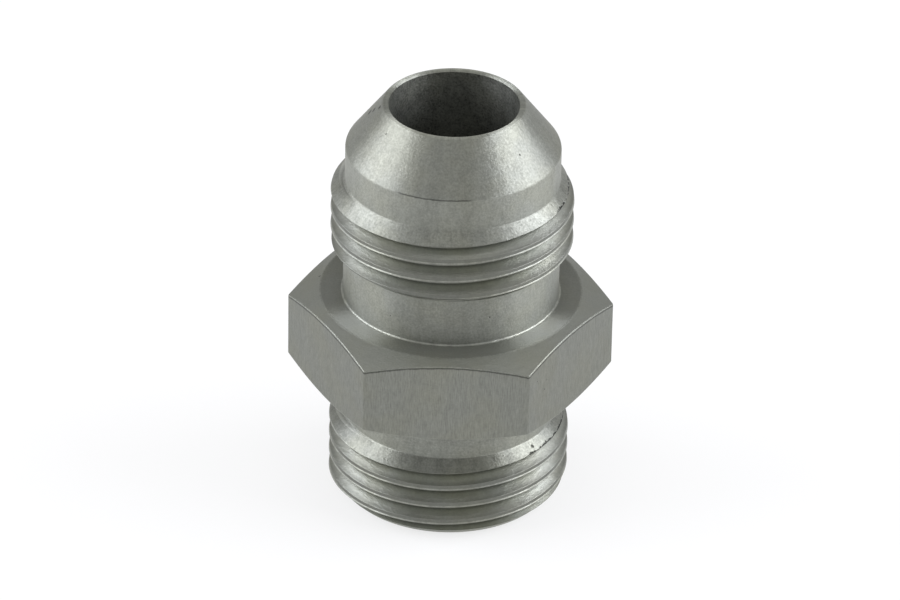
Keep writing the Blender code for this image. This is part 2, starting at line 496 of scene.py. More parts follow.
def close_nut(nut, bottom, top):
    """Widen both rims into rings, and bridge the rings with an outer wall."""
    for height in (bottom, top):
        pick(nut, 'EDGE', lambda edge: on_rim(edge, height))
        bpy.ops.mesh.extrude_edges_move(TRANSFORM_OT_translate={"value": (0.0, 0.0, 0.0)})
        bpy.ops.transform.resize(value=(NUT_SPREAD, NUT_SPREAD, 1.0), center_override=(0.0, 0.0, height))
    pick(nut, 'EDGE', lambda edge: on_rim(edge, bottom) or on_rim(edge, top))
    bpy.ops.mesh.bridge_edge_loops()
    bpy.ops.mesh.select_all(action='SELECT')
    bpy.ops.mesh.normals_make_consistent(inside=False)
    form = bmesh.from_edit_mesh(nut.data)
    open_edges = sum(1 for edge in form.edges if not edge.is_manifold)
    print(nut.name, "has", len(form.faces), "faces and", open_edges, "open edges")
    stop_editing()


def thread_nut(name, groove_height, turns_below, turns_above):
    """Nut that leaves one thread. It reaches so many turns from the groove."""
    bottom = groove_height - turns_below * THREAD_PITCH
    top = groove_height + turns_above * THREAD_PITCH
    nut = wind_sheet(name, groove_height, turns_below, turns_above)
    trim_sheet(bottom, top)
    close_nut(nut, bottom, top)
    return nut


# %% Cut both threads
LARGEST_PATCH = 6


def apply_boolean(piece, tool, operation):
    """Shape the piece with a tool, throw the tool away and close pinholes."""
    make_active(piece)
    apply_modifier(piece, 'BOOLEAN', operation=operation, solver='EXACT', object=tool)
    bpy.data.objects.remove(tool, do_unlink=True)
    bpy.ops.object.mode_set(mode='EDIT')
    merge_doubles(WELD_DISTANCE)
    bpy.ops.mesh.select_all(action='SELECT')
    bpy.ops.mesh.fill_holes(sides=LARGEST_PATCH)
    stop_editing()
    print(operation.lower(), "leaves", len(piece.data.polygons), "faces")


flare_groove = FLARE_THREAD_TOP - THREAD_LEAD_IN
stud_groove = STUD_THREAD_TOP - THREAD_LEAD_IN
apply_boolean(fitting, thread_nut("flare_nut", flare_groove, turns_below=4, turns_above=1), 'DIFFERENCE')
apply_boolean(fitting, thread_nut("stud_nut", stud_groove, turns_below=4, turns_above=2), 'DIFFERENCE')

# %% [markdown]
# ## The hexagon
#
# The bar's six flats are what the lathe leaves between the chamfers. Cutting
# six flats with a plane each would work too. A six-sided cylinder with
# slightly broken corners stands for the bar instead, and the blank keeps only
# what lies inside it, so the chamfers meet the flats in the true curves.

# %% Cut the blank from the bar
BAR_CORNER_BREAK = 0.10 * MM


def hexagon_bar():
    deselect_everything()
    bpy.ops.mesh.primitive_cylinder_add(vertices=6, radius=HEX_CORNER_RADIUS, depth=2.0 * TOTAL_LENGTH,
                                        location=(0.0, 0.0, TOTAL_LENGTH / 2.0),
                                        rotation=(0.0, 0.0, math.pi / 6.0))
    bar = bpy.context.active_object
    work_on(bar)
    pick(bar, 'EDGE', lambda edge: abs(edge.verts[0].co.z - edge.verts[1].co.z) > TOTAL_LENGTH)
    bpy.ops.mesh.bevel(offset=BAR_CORNER_BREAK, segments=2, affect='EDGES')
    stop_editing()
    return bar


apply_boolean(fitting, hexagon_bar(), 'INTERSECT')

# %% [markdown]
# The chamfer meets each flat in a curve, and those curved edges are broken
# too. They run at no single height, so they are told by the two faces at each
# edge: one upright, and one as steep as a chamfer.

# %% Break the curved edges of the flats
FLAT_EDGE_BREAK = 0.07 * MM
UPRIGHT_TILT = 0.05
LEAST_CHAMFER_TILT = 0.85
MOST_CHAMFER_TILT = 0.98


def tilt(face):
    """0 for an upright face and 1 for a level one."""
    return abs(face.normal.z)


def tilted_as_chamfer(face):
    return LEAST_CHAMFER_TILT < tilt(face) < MOST_CHAMFER_TILT


def between_flat_and_chamfer(edge):
    if len(edge.link_faces) != 2:
        return False
    flat, chamfer = sorted(edge.link_faces, key=tilt)
    outside = min(reach(corner.co) for corner in edge.verts) > HEX_ACROSS_FLATS / 2.0 - PLACE_TOLERANCE
    return outside and tilt(flat) < UPRIGHT_TILT and tilted_as_chamfer(chamfer)


work_on(fitting)
count = pick(fitting, 'EDGE', between_flat_and_chamfer)
bpy.ops.mesh.bevel(offset=FLAT_EDGE_BREAK, segments=2, affect='EDGES')
stop_editing()
print("curved edges broken:", count)

# %% [markdown]
# ## Smooth shading
#
# Turned faces look round and flats look flat only if the shading knows which
# is which. Shading smooth by angle does most of it. The chamfers also get
# sharp borders, because they are true cones, and the wide faces are given more
# say than the narrow bevels, so that a bevel doesn't bend the light on the
# face beside it.

# %% Smooth the round faces
CHAMFER_TILT = math.cos(HEX_CHAMFER_ANGLE)
CHAMFER_TILT_ERROR = 0.003
SMOOTH_ANGLE = math.radians(25.0)
WIDE_FACE_WEIGHT = 90


def borders_chamfer(edge):
    """True where a chamfer meets the narrow faces along its edges."""
    on_chamfer = [abs(tilt(face) - CHAMFER_TILT) < CHAMFER_TILT_ERROR for face in edge.link_faces]
    return min(reach(corner.co) for corner in edge.verts) > HEX_SEAT_RADIUS and on_chamfer.count(True) == 1


make_active(fitting)
bpy.ops.object.shade_smooth_by_angle(angle=SMOOTH_ANGLE)
work_on(fitting)
print("chamfer borders:", pick(fitting, 'EDGE', borders_chamfer))
bpy.ops.mesh.mark_sharp()
stop_editing()
apply_modifier(fitting, 'WEIGHTED_NORMAL', mode='FACE_AREA', weight=WIDE_FACE_WEIGHT, keep_sharp=True)
triangles = sum(len(face.vertices) - 2 for face in fitting.data.polygons)
print("fine model:", triangles, "triangles")

# %% [markdown]
# ## The finish
#
# The steel is plated a satin grey, and every face still shows how it was made.
# A lathe tool leaves fine rings on the turned faces, so the metal scatters
# light mostly across the rings and hardly along them. That draws the bright
# fans on the flat ring and carries the highlights down the necks. The flats of
# the hexagon keep the upright grain of the drawn bar. Over all of it lies the
# fine mottle of the plating, a faint warm bloom, and a few small pits.
#
# All this could be painted by hand on an unwrapped surface. Nodes are used
# instead, because they stay sharp at any distance. Each effect is a node group
# that several steels can share. A group is given a place on the fitting in
# millimetres and puts out a value from 0 to 1, which the steel then mixes into
# its colour, roughness and relief.

# %% Helpers for shader groups


def make_group(name, draw, settings=None):
    """A shader group that reads a place and some named settings. draw puts its
    nodes in, and returns its outputs by name. given holds all its inputs."""
    group = bpy.data.node_groups.new(name, 'ShaderNodeTree')
    group.interface.new_socket(name="Place", in_out='INPUT', socket_type='NodeSocketVector')
    for title, value in (settings or {}).items():
        socket = group.interface.new_socket(name=title, in_out='INPUT', socket_type='NodeSocketFloat')
        socket.default_value = value
    given = group.nodes.new("NodeGroupInput").outputs
    results = draw(group, given["Place"], given)
    for title in results:
        group.interface.new_socket(name=title, in_out='OUTPUT', socket_type='NodeSocketFloat')
    sink = group.nodes.new("NodeGroupOutput")
    for title, value in results.items():
        group.links.new(value, sink.inputs[title])
    print(name, "group:", len(group.nodes), "nodes")
    return group


def feed(tree, socket, value):
    """Give an input either a number or another node's output."""
    if isinstance(value, (int, float)):
        socket.default_value = value
    else:
        tree.links.new(value, socket)


def calculate(tree, operation, first, second=0.0):
    node = tree.nodes.new("ShaderNodeMath")
    node.operation = operation
    feed(tree, node.inputs[0], first)
    feed(tree, node.inputs[1], second)
    return node.outputs[0]


def with_share(tree, total, value, share):
    """A total with a share of a value added to it."""
    return calculate(tree, 'ADD', calculate(tree, 'MULTIPLY', value, share), total)


def vector(tree, operation, first, second=None):
    """A node that works on whole vectors."""
    node = tree.nodes.new("ShaderNodeVectorMath")
    node.operation = operation
    tree.links.new(first, node.inputs[0])
    if second is not None:
        tree.links.new(second, node.inputs[1])
    return node


def stretch(tree, place, across, upright):
    """A place with its level and upright measures multiplied."""
    node = vector(tree, 'MULTIPLY', place)
    node.inputs[1].default_value = (across, across, upright)
    return node.outputs[0]


# %% Helpers that read a place


def noise(tree, place, scale, detail):
    node = tree.nodes.new("ShaderNodeTexNoise")
    tree.links.new(place, node.inputs["Vector"])
    feed(tree, node.inputs["Scale"], scale)
    node.inputs["Detail"].default_value = detail
    return node.outputs[0]


def smooth_step(tree, value, low, high, at_low=0.0, at_high=1.0):
    """A value that eases from at_low to at_high between two limits."""
    node = tree.nodes.new("ShaderNodeMapRange")
    node.interpolation_type = 'SMOOTHSTEP'
    tree.links.new(value, node.inputs["Value"])
    node.inputs["From Min"].default_value = low
    node.inputs["From Max"].default_value = high
    node.inputs["To Min"].default_value = at_low
    node.inputs["To Max"].default_value = at_high
    return node.outputs[0]


def radius_of(tree, place):
    """Distance of a place from the bore's axis."""
    return vector(tree, 'LENGTH', stretch(tree, place, 1.0, 0.0)).outputs["Value"]


def height_of(tree, place):
    split = tree.nodes.new("ShaderNodeSeparateXYZ")
    tree.links.new(place, split.inputs[0])
    return split.outputs[2]


def degrees_from_front(tree, place):
    """Angle round the axis, 0 at the front flat and 90 at the right."""
    split = tree.nodes.new("ShaderNodeSeparateXYZ")
    tree.links.new(place, split.inputs[0])
    toward_front = calculate(tree, 'MULTIPLY', split.outputs[1], -1.0)
    angle = calculate(tree, 'ARCTAN2', split.outputs[0], toward_front)
    return calculate(tree, 'MULTIPLY', angle, math.degrees(1.0))


# %% [markdown]
# **Turning marks.** The rings follow the tool, which moves up a neck, in
# across the flat ring, or along the slope of a cone. A Wave texture in rings
# would suit only one of these. Height less 0.7 of the radius changes steadily
# on all of them, so one ruler serves every turned face. A slow noise wavers
# the rings a little, as chatter does.

# %% Turning marks
RINGS_PER_MM = 5.0
RING_SLANT = 0.7
RING_WAVER = 0.10
WAVERS_PER_MM = 0.5


def draw_turning_marks(tree, place, given):
    slant = calculate(tree, 'MULTIPLY', radius_of(tree, place), RING_SLANT)
    ruler = calculate(tree, 'SUBTRACT', height_of(tree, place), slant)
    wavy = with_share(tree, ruler, noise(tree, place, WAVERS_PER_MM, detail=1.0), RING_WAVER)
    rings = tree.nodes.new("ShaderNodeTexNoise")
    rings.noise_dimensions = '1D'
    rings.inputs["Scale"].default_value = 1.0
    rings.inputs["Detail"].default_value = 2.0
    tree.links.new(calculate(tree, 'MULTIPLY', wavy, given["Rings per mm"]), rings.inputs["W"])
    return {"Marks": rings.outputs[0]}


TURNING_MARKS = make_group("turning marks", draw_turning_marks, {"Rings per mm": RINGS_PER_MM})

# %% [markdown]
# **Drawn grain.** Drawing the bar through its die leaves long, fine, upright
# lines. Modelled grooves would be far too many. A noise squeezed sideways and
# stretched upwards gives the same look, and a coarser one under it keeps the
# lines from looking even.

# %% Drawn grain
FINE_LINES_PER_MM = 16.0
FINE_LINE_RATE = 1.3
COARSE_LINES_PER_MM = 5.0
COARSE_LINE_RATE = 0.5
FINE_SHARE = 0.85
COARSE_SHARE = 0.15


def draw_grain(tree, place, given):
    fine = noise(tree, stretch(tree, place, FINE_LINES_PER_MM, FINE_LINE_RATE), 1.0, detail=2.0)
    coarse = noise(tree, stretch(tree, place, COARSE_LINES_PER_MM, COARSE_LINE_RATE), 1.0, detail=1.0)
    fine_part = calculate(tree, 'MULTIPLY', fine, FINE_SHARE)
    return {"Grain": with_share(tree, fine_part, coarse, COARSE_SHARE)}


DRAWN_GRAIN = make_group("drawn grain", draw_grain)

# %% [markdown]
# **Streaks.** The turned faces carry faint streaks too, where the plating bath
# ran down. Upright noise would slant across a cone. The streaks run down its
# slope instead, because the noise is read from the direction round the axis,
# and hardly changes with height.

# %% Streaks down the turned faces
STREAKS_AROUND = 8.0
STREAK_RATE = 0.12
FINE_STREAK_SCALE = 6.0
BROAD_STREAK_SCALE = 1.1


def draw_streaks(tree, place, given):
    outward = vector(tree, 'NORMALIZE', stretch(tree, place, 1.0, 0.0)).outputs[0]
    around = stretch(tree, outward, STREAKS_AROUND, 0.0)
    along = stretch(tree, place, 0.0, STREAK_RATE)
    joined = vector(tree, 'ADD', around, along).outputs[0]
    fine = noise(tree, joined, FINE_STREAK_SCALE, detail=2.0)
    broad = noise(tree, joined, BROAD_STREAK_SCALE, detail=2.0)
    return {"Streaks": calculate(tree, 'MULTIPLY', calculate(tree, 'ADD', fine, broad), 0.5)}


STREAKS = make_group("streaks", draw_streaks)

# %% [markdown]
# **Plating.** The plating is a little uneven: a fine mottle that sparkles
# where a lamp is mirrored, blotches of about a millimetre, and a slow
# cloudiness over several millimetres. One noise with much detail would mix all
# three, so each has a noise of its own and can be given its own strength.

# %% Plating mottle, blotches and cloud
MOTTLES_PER_MM = 6.0
BLOTCHES_PER_MM = 1.3
CLOUDS_PER_MM = 0.28
BLOTCH_LIMITS = (0.3, 0.7)
CLOUD_LIMITS = (0.35, 0.68)


def draw_plating(tree, place, given):
    blotches = noise(tree, place, BLOTCHES_PER_MM, detail=3.0)
    cloud = noise(tree, place, CLOUDS_PER_MM, detail=2.0)
    return {"Mottle": noise(tree, place, given["Mottles per mm"], detail=3.0),
            "Blotches": smooth_step(tree, blotches, *BLOTCH_LIMITS),
            "Cloud": smooth_step(tree, cloud, *CLOUD_LIMITS)}


PLATING = make_group("plating", draw_plating, {"Mottles per mm": MOTTLES_PER_MM})

# %% [markdown]
# **Pits and knocks.** The photographed fitting has a handful of tiny dark
# pits. Random pits would be easier, but these can be pointed at one by one: a
# kind of face, an angle round the axis from the front, a height and a size.
# How far a pit lies from the axis follows from the face that it is on. A fine
# noise moves the places about, so that the pits come out ragged.

# %% Where the pits are
SIXTH_TURN = 60.0
PIT_PLACES = [
    ("neck, left", "neck", -32.0, 19.3, 0.05),
    ("neck, right", "neck", 22.0, 19.8, 0.08),
    ("cone, right", "cone", 49.0, 32.5, 0.07),
    ("cone, left edge", "cone", -96.0, 32.9, 0.26),
    ("cone, left edge, middle", "cone", -92.0, 33.4, 0.22),
    ("cone, left edge, upper", "cone", -86.0, 34.0, 0.18),
    ("cone, left", "cone", -56.0, 33.4, 0.06),
    ("right flat, near the corner", "flat", 35.0, 15.4, 0.06),
    ("right flat, higher", "flat", 41.5, 14.8, 0.06),
    ("right flat, lower", "flat", 40.0, 14.1, 0.08),
    ("chamfer, left", "chamfer", -98.0, 17.4, 0.10),
    ("stud start, right", "start", 49.5, 6.7, 0.13),
]


def radius_there(face, angle, height):
    """Distance from the axis, in millimetres, of a spot on a kind of face."""
    from_flat = math.radians((angle + SIXTH_TURN / 2.0) % SIXTH_TURN - SIXTH_TURN / 2.0)
    return {
        "neck": NECK_RADIUS / MM,
        "cone": LIP_RADIUS / MM + (TOTAL_LENGTH / MM - height) * math.tan(FLARE_HALF_ANGLE),
        "flat": HEX_ACROSS_FLATS / MM / 2.0 / math.cos(from_flat),
        "chamfer": HEX_RING_RADIUS / MM + (HEX_TOP / MM - height) / math.tan(HEX_CHAMFER_ANGLE),
        "start": (NECK_RADIUS + STUD_THREAD_TOP) / MM - height,
    }[face]


print("pits:", len(PIT_PLACES))

# %% Small pits
PIT_WOBBLE = 0.12
WOBBLES_PER_MM = 5.0
PIT_FLOOR = 0.5
PIT_RIM = 1.3


def wobbled(tree, place):
    """A place moved by a fine noise, by half of PIT_WOBBLE on average."""
    jitter = tree.nodes.new("ShaderNodeTexNoise")
    jitter.inputs["Scale"].default_value = WOBBLES_PER_MM
    tree.links.new(place, jitter.inputs["Vector"])
    wobble = vector(tree, 'SCALE', jitter.outputs["Color"])
    wobble.inputs["Scale"].default_value = PIT_WOBBLE
    return vector(tree, 'ADD', place, wobble.outputs[0]).outputs[0]


def draw_pits(tree, place, given):
    moved = wobbled(tree, place)
    middle = Vector((1.0, 1.0, 1.0)) * PIT_WOBBLE / 2.0
    total = 0.0
    for title, face, angle, height, size in PIT_PLACES:
        turn = math.radians(angle)
        radius = radius_there(face, angle, height)
        away = vector(tree, 'DISTANCE', moved)
        away.label = title
        spot = Vector((radius * math.sin(turn), -radius * math.cos(turn), height))
        away.inputs[1].default_value = spot + middle
        pit = smooth_step(tree, away.outputs["Value"], size * PIT_FLOOR, size * PIT_RIM, 1.0, 0.0)
        total = calculate(tree, 'MAXIMUM', pit, total)
    return {"Pits": total}


SMALL_PITS = make_group("small pits", draw_pits)

# %% [markdown]
# **Dark lines along edges.** A fine burr with dirt behind it draws a thin dark
# line where the chamfer cuts each flat, and at the front where the cone meets
# the nose. Edge wear is often found from how sharply a surface bends, but that
# would mark every edge alike. Here the line lies where the height falls by a
# given slope from a given radius and height, between two angles from the front.

# %% Dark lines along edges
RAGS_PER_MM = 2.2
LINE_CORE = 0.4
LINE_FRINGE = 1.6
FADE_PER_DEGREE = 0.15
EDGE_RAGGEDNESS = 2.0


def ragged_line(tree, place, away, width, raggedness):
    """1 on a line and 0 off it. away is the distance from the line."""
    ragged = calculate(tree, 'SUBTRACT', noise(tree, place, RAGS_PER_MM, detail=3.0), 0.5)
    distance = calculate(tree, 'ABSOLUTE', with_share(tree, away, ragged, raggedness))
    return smooth_step(tree, distance, width * LINE_CORE, width * LINE_FRINGE, 1.0, 0.0)


def between(tree, degrees, first, last):
    """1 between two angles, fading to 0 over the last few degrees."""
    begun = calculate(tree, 'MULTIPLY', calculate(tree, 'SUBTRACT', degrees, first), FADE_PER_DEGREE)
    left = calculate(tree, 'MULTIPLY', calculate(tree, 'SUBTRACT', last, degrees), FADE_PER_DEGREE)
    return smooth_step(tree, calculate(tree, 'MINIMUM', begun, left), 0.0, 1.0)


def draw_edge_line(tree, place, given):
    outward = calculate(tree, 'SUBTRACT', radius_of(tree, place), given["Radius"])
    fallen = calculate(tree, 'MULTIPLY', outward, given["Slope"])
    level = calculate(tree, 'SUBTRACT', given["Height"], fallen)
    away = calculate(tree, 'SUBTRACT', height_of(tree, place), level)
    widths_away = calculate(tree, 'DIVIDE', away, given["Width"])
    line = ragged_line(tree, place, widths_away, 1.0, EDGE_RAGGEDNESS)
    window = between(tree, degrees_from_front(tree, place), given["From"], given["To"])
    return {"Line": calculate(tree, 'MULTIPLY', line, window)}


EDGE_LINE = make_group("edge line", draw_edge_line, {
    "Height": 0.0, "Radius": 0.0, "Slope": 0.0, "Width": 0.05, "From": -200.0, "To": 200.0})

# %% [markdown]
# ** The groove shade.** The roots of the threads are painted darker, as painted
# shade deep in each groove, and the flanks are painted darker close to the
# crests, also as painted shade. Both depend only on how far a spot is from the
# axis, so the radius alone is enough to place them.

# %% Groove shade
ROOT_SHADE_RISE = (0.05, 0.32)
CREST_SHADE_DROP = (0.50, 0.12)


def draw_groove_shade(tree, place, given):
    radius = radius_of(tree, place)
    root = ROOT_RADIUS / MM
    crest = THREAD_RADIUS / MM
    return {"Painted root shade": smooth_step(tree, radius, root + ROOT_SHADE_RISE[0], root + ROOT_SHADE_RISE[1], 1.0, 0.0),
            "Painted crest shade": smooth_step(tree, radius, crest - CREST_SHADE_DROP[0], crest - CREST_SHADE_DROP[1])}


GROOVE_SHADE = make_group("groove", draw_groove_shade)

# %% [markdown]
# **The torn edge.** At the right of both threads the first turn runs out on
# the coned start face in a thin, feathered edge. The tool tore it there, and it
# shows as a ragged dark line. Flakes in the mesh would be finer than its facets,
# so the line is drawn in the finish, where the cone and the thread's lower flank
# cross. The radius of that crossing shrinks evenly as the thread climbs.

# %% Torn thread edge
TEAR_WIDTH = 0.06
TEAR_RAGGEDNESS = 0.6


def draw_torn_edge(tree, place, given):
    degrees = degrees_from_front(tree, place)
    crest_edge = with_share(tree, given["Crest edge height"], degrees, THREAD_PITCH / MM / 360.0)
    steepness = 1.0 / math.tan(FLANK_ANGLE)
    lift = calculate(tree, 'SUBTRACT', given["Cone sum"], THREAD_RADIUS / MM)
    crossing = with_share(tree, lift, crest_edge, steepness)
    crossing_height = calculate(tree, 'DIVIDE', crossing, 1.0 + steepness)
    away = calculate(tree, 'SUBTRACT', height_of(tree, place), crossing_height)
    line = ragged_line(tree, place, away, TEAR_WIDTH, TEAR_RAGGEDNESS)
    window = between(tree, degrees, given["From"], given["To"])
    return {"Tear": calculate(tree, 'MULTIPLY', line, window)}


TORN_EDGE = make_group("torn edge", draw_torn_edge, {
    "Cone sum": 0.0, "Crest edge height": 0.0, "From": 0.0, "To": 90.0})

# %% [markdown]
# ## The steel itself
#
# One builder makes all the steels, because they are the same metal under the
# same plating. Each is given its tone, its roughness, how strongly light
# smears across its tool rings, and how much of each effect it shows. Separate
# materials written out by hand would say the same things eleven times.

# %% A plated steel under construction
STEEL_HUE = (1.005, 1.035, 0.93)
WARM_HUE = (1.015, 1.035, 0.89)
RELIEF = 0.014 * MM
ACROSS_THE_RINGS = 0.25
# A Mix node keeps sockets for each kind of data. These are its colour sockets.
MIX_FIRST, MIX_SECOND, MIX_RESULT = 6, 7, 2


class Steel:
    """A plated steel, with the effects that it keeps adding up."""

    def __init__(self, name, roughness, smear):
        self.material = bpy.data.materials.new(name)
        self.material.use_nodes = True
        self.tree = self.material.node_tree
        self.shader = self.tree.nodes["Principled BSDF"]
        self.shader.inputs["Metallic"].default_value = 1.0
        self.shader.inputs["Anisotropic"].default_value = smear
        self.shader.inputs["Anisotropic Rotation"].default_value = ACROSS_THE_RINGS
        around = self.tree.nodes.new("ShaderNodeTangent")
        around.direction_type = 'RADIAL'
        around.axis = 'Z'
        self.tree.links.new(around.outputs[0], self.shader.inputs["Tangent"])
        spot = self.tree.nodes.new("ShaderNodeTexCoord")
        self.place = stretch(self.tree, spot.outputs["Object"], 1.0 / MM, 1.0 / MM)
        self.roughness = roughness
        self.shade = 1.0
        self.relief = 0.0
        self.clearness = 1.0

    def effect(self, group, settings=None):
        """Place a group on this steel, with its settings."""
        node = self.tree.nodes.new("ShaderNodeGroup")
        node.node_tree = group
        self.tree.links.new(self.place, node.inputs["Place"])
        for title, value in (settings or {}).items():
            node.inputs[title].default_value = value
        return node

    def texture(self, value, shade, relief, gloss=0.0):
        """Let an effect lighten and darken, raise and sink, and gloss."""
        centred = calculate(self.tree, 'SUBTRACT', value, 0.5)
        self.shade = with_share(self.tree, self.shade, centred, shade)
        self.relief = with_share(self.tree, self.relief, centred, relief)
        if gloss:
            self.roughness = with_share(self.tree, self.roughness, centred, -gloss)

    def marks(self, value, depth, strength):
        """Dark marks, from 0 to 1, that also sink into the surface."""
        clear = calculate(self.tree, 'SUBTRACT', 1.0, calculate(self.tree, 'MULTIPLY', value, strength))
        self.clearness = calculate(self.tree, 'MULTIPLY', clear, self.clearness)
        self.relief = with_share(self.tree, self.relief, value, -depth)

    def finish(self, tone, bloom):
        """Join the effects to the shader. bloom is where the metal looks warm."""
        tree = self.tree
        hue = tree.nodes.new("ShaderNodeMix")
        hue.data_type = 'RGBA'
        tree.links.new(bloom, hue.inputs["Factor"])
        hue.inputs[MIX_FIRST].default_value = (*[part * tone for part in STEEL_HUE], 1.0)
        hue.inputs[MIX_SECOND].default_value = (*[part * tone for part in WARM_HUE], 1.0)
        lit = vector(tree, 'SCALE', hue.outputs[MIX_RESULT])
        tree.links.new(calculate(tree, 'MULTIPLY', self.shade, self.clearness), lit.inputs["Scale"])
        tree.links.new(lit.outputs[0], self.shader.inputs["Base Color"])
        tree.links.new(self.roughness, self.shader.inputs["Roughness"])
        bump = tree.nodes.new("ShaderNodeBump")
        bump.inputs["Distance"].default_value = RELIEF
        tree.links.new(self.relief, bump.inputs["Height"])
        tree.links.new(bump.outputs[0], self.shader.inputs["Normal"])
        return self.material


# %% One steel from its amounts
MOTTLE_RELIEF = 1.0
MOTTLE_GLOSS = 0.12
BLOTCH_RELIEF = 0.5
# Each row: the amount's name, the group, its output and its relief.
TOOL_EFFECTS = [
    ("rings", TURNING_MARKS, "Marks", 0.2),
    ("grain", DRAWN_GRAIN, "Grain", 0.4),
    ("streaks", STREAKS, "Streaks", 0.5),
]
PIT_DEPTH, PIT_STRENGTH = 2.0, 0.70
LINE_DEPTH, LINE_STRENGTH = 1.0, 0.55
TEAR_DEPTH, TEAR_STRENGTH = 3.0, 0.85


def plated(name, tone, roughness, smear, amounts, line=None, tear=None):
    """One plated steel. The amounts are shares of its tone. A line or a tear
    is given by the settings of its group."""
    steel = Steel(name, roughness, smear)
    plating = steel.effect(PLATING)
    steel.texture(plating.outputs["Mottle"], amounts["mottle"], MOTTLE_RELIEF, MOTTLE_GLOSS)
    steel.texture(plating.outputs["Blotches"], amounts["blotches"], BLOTCH_RELIEF)
    for effect, group, output, relief in TOOL_EFFECTS:
        if effect in amounts:
            steel.texture(steel.effect(group).outputs[output], amounts[effect], relief)
    steel.marks(steel.effect(SMALL_PITS).outputs["Pits"], PIT_DEPTH, PIT_STRENGTH)
    # The groove amount paints shade: darker roots and darker flanks near the crests.
    if "groove" in amounts:
        groove = steel.effect(GROOVE_SHADE)
        steel.marks(groove.outputs["Painted root shade"], 0.0, amounts["groove"])
        steel.marks(groove.outputs["Painted crest shade"], 0.0, amounts["groove"])
    if line:
        steel.marks(steel.effect(EDGE_LINE, line).outputs["Line"], LINE_DEPTH, LINE_STRENGTH)
    if tear:
        steel.marks(steel.effect(TORN_EDGE, tear).outputs["Tear"], TEAR_DEPTH, TEAR_STRENGTH)
    print(name, "of tone", tone, "and roughness", roughness)
    return steel.finish(tone, plating.outputs["Cloud"])


# %% [markdown]
# The faces differ in how the tool met them. The threads and their ridge were
# squeezed smooth and are lighter, and the crests are dull. The bore was drilled
# rough and shows the mottle strongest; its lower tone is also painted shade
# inside the bore. The stud's start face has a lower tone than the flare's, as
# painted shade under the hexagon. The flat ring and the lip were faced in one
# slow cut, so light smears across them the most. One steel for all faces would
# be simpler, but then nothing would show how each face was made.

# %% Steels of the turned, drawn and bored faces
STEEL_TONE = 0.28
TURNED = {"mottle": 0.62, "blotches": 0.08, "rings": 0.06, "streaks": 0.42}
FLAT_LINE = {"Height": HEX_TOP / MM - 0.14, "Radius": HEX_RING_RADIUS / MM,
             "Slope": math.tan(HEX_CHAMFER_ANGLE), "Width": 0.07}
NOSE_LINE = {"Height": CONE_BASE / MM, "Width": 0.05, "From": -32.0, "To": 14.0}

turned_steel = plated("turned_steel", tone=STEEL_TONE, roughness=0.50, smear=0.7,
                      amounts=TURNED, line=NOSE_LINE)
drawn_steel = plated("drawn_steel", tone=0.225, roughness=0.48, smear=0.0,
                     amounts={"mottle": 0.20, "blotches": 0.04, "grain": 0.85}, line=FLAT_LINE)
chamfer_steel = plated("chamfer_steel", tone=STEEL_TONE, roughness=0.40, smear=0.0,
                       amounts={"mottle": 0.15, "blotches": 0.03, "rings": 0.04})
faced_steel = plated("faced_steel", tone=STEEL_TONE, roughness=0.44, smear=1.0,
                     amounts={"mottle": 0.15, "blotches": 0.03, "rings": 0.05})
# Its tone, lower than the turned steel's, is painted shade inside the bore.
shaded_bored_steel = plated("shaded_bored_steel", tone=0.20, roughness=0.49, smear=0.5,
                     amounts={"mottle": 1.80, "blotches": 0.30, "streaks": 0.50})
lip_steel = plated("lip_steel", tone=0.42, roughness=0.50, smear=1.0,
                   amounts={"mottle": 0.40, "blotches": 0.10, "streaks": 1.20})

# %% Steels of the threads
# Its groove amount is painted shade in the thread grooves.
THREADED = {"mottle": 0.30, "blotches": 0.08, "rings": 0.08, "streaks": 0.15, "groove": 0.30}
STARTED = {"mottle": 0.80, "blotches": 0.16, "rings": 0.05, "streaks": 0.60}


def tear_for(neck_radius, thread_top, first, last):
    """Where the torn edge runs: radius plus height on the cone, and the height
    of the first crest's lower edge at the front, both in millimetres."""
    crest_edge = thread_top - THREAD_LEAD_IN + THREAD_PITCH / 2.0 - THREAD_CREST / 2.0
    return {"Cone sum": (neck_radius + thread_top) / MM, "Crest edge height": crest_edge / MM,
            "From": first, "To": last}


thread_steel = plated("thread_steel", tone=0.33, roughness=0.34, smear=0.3, amounts=THREADED)
crest_steel = plated("crest_steel", tone=0.18, roughness=0.50, smear=0.5,
                     amounts={"mottle": 0.30, "blotches": 0.08, "rings": 0.04})
burnished_steel = plated("burnished_steel", tone=0.34, roughness=0.42, smear=0.7,
                         amounts={"mottle": 0.50, "blotches": 0.30})
flare_start_steel = plated("flare_start_steel", tone=STEEL_TONE, roughness=0.47, smear=0.7,
                           amounts=STARTED, tear=tear_for(NOSE_RADIUS, FLARE_THREAD_TOP, 62.0, 106.0))
# Its tone, lower than the flare start's, is painted shade under the hexagon.
stud_start_steel_shaded = plated("stud_start_steel_shaded", tone=0.235, roughness=0.43, smear=0.7,
                          amounts=STARTED, tear=tear_for(NECK_RADIUS, STUD_THREAD_TOP, 40.0, 92.0))

# %% [markdown]
# ## Which face gets which steel
#
# On the screen one would click the faces of each kind and press Assign. Here
# each kind has a short test on where a face lies and how it is tilted. The
# first steel goes on every face, and each later one takes its own faces over.

# %% Tell the faces of the hexagon and the bore apart
FLAT_SLACK = 0.05 * MM
EDGE_SLACK = 0.1 * MM
CHAMFER_REACH = 2.0 * MM
MOST_FLAT_TILT = 0.3
LEAST_RING_TILT = 0.99
LEAST_LIP_TILT = 0.6
MOST_BORE_TILT = 0.5


def place_of(face):
    """A face's distance from the axis and its height."""
    middle = face.calc_center_median()
    return reach(middle), middle.z


def is_flat(face):
    radius = place_of(face)[0]
    return radius > HEX_ACROSS_FLATS / 2.0 - FLAT_SLACK and tilt(face) < MOST_FLAT_TILT


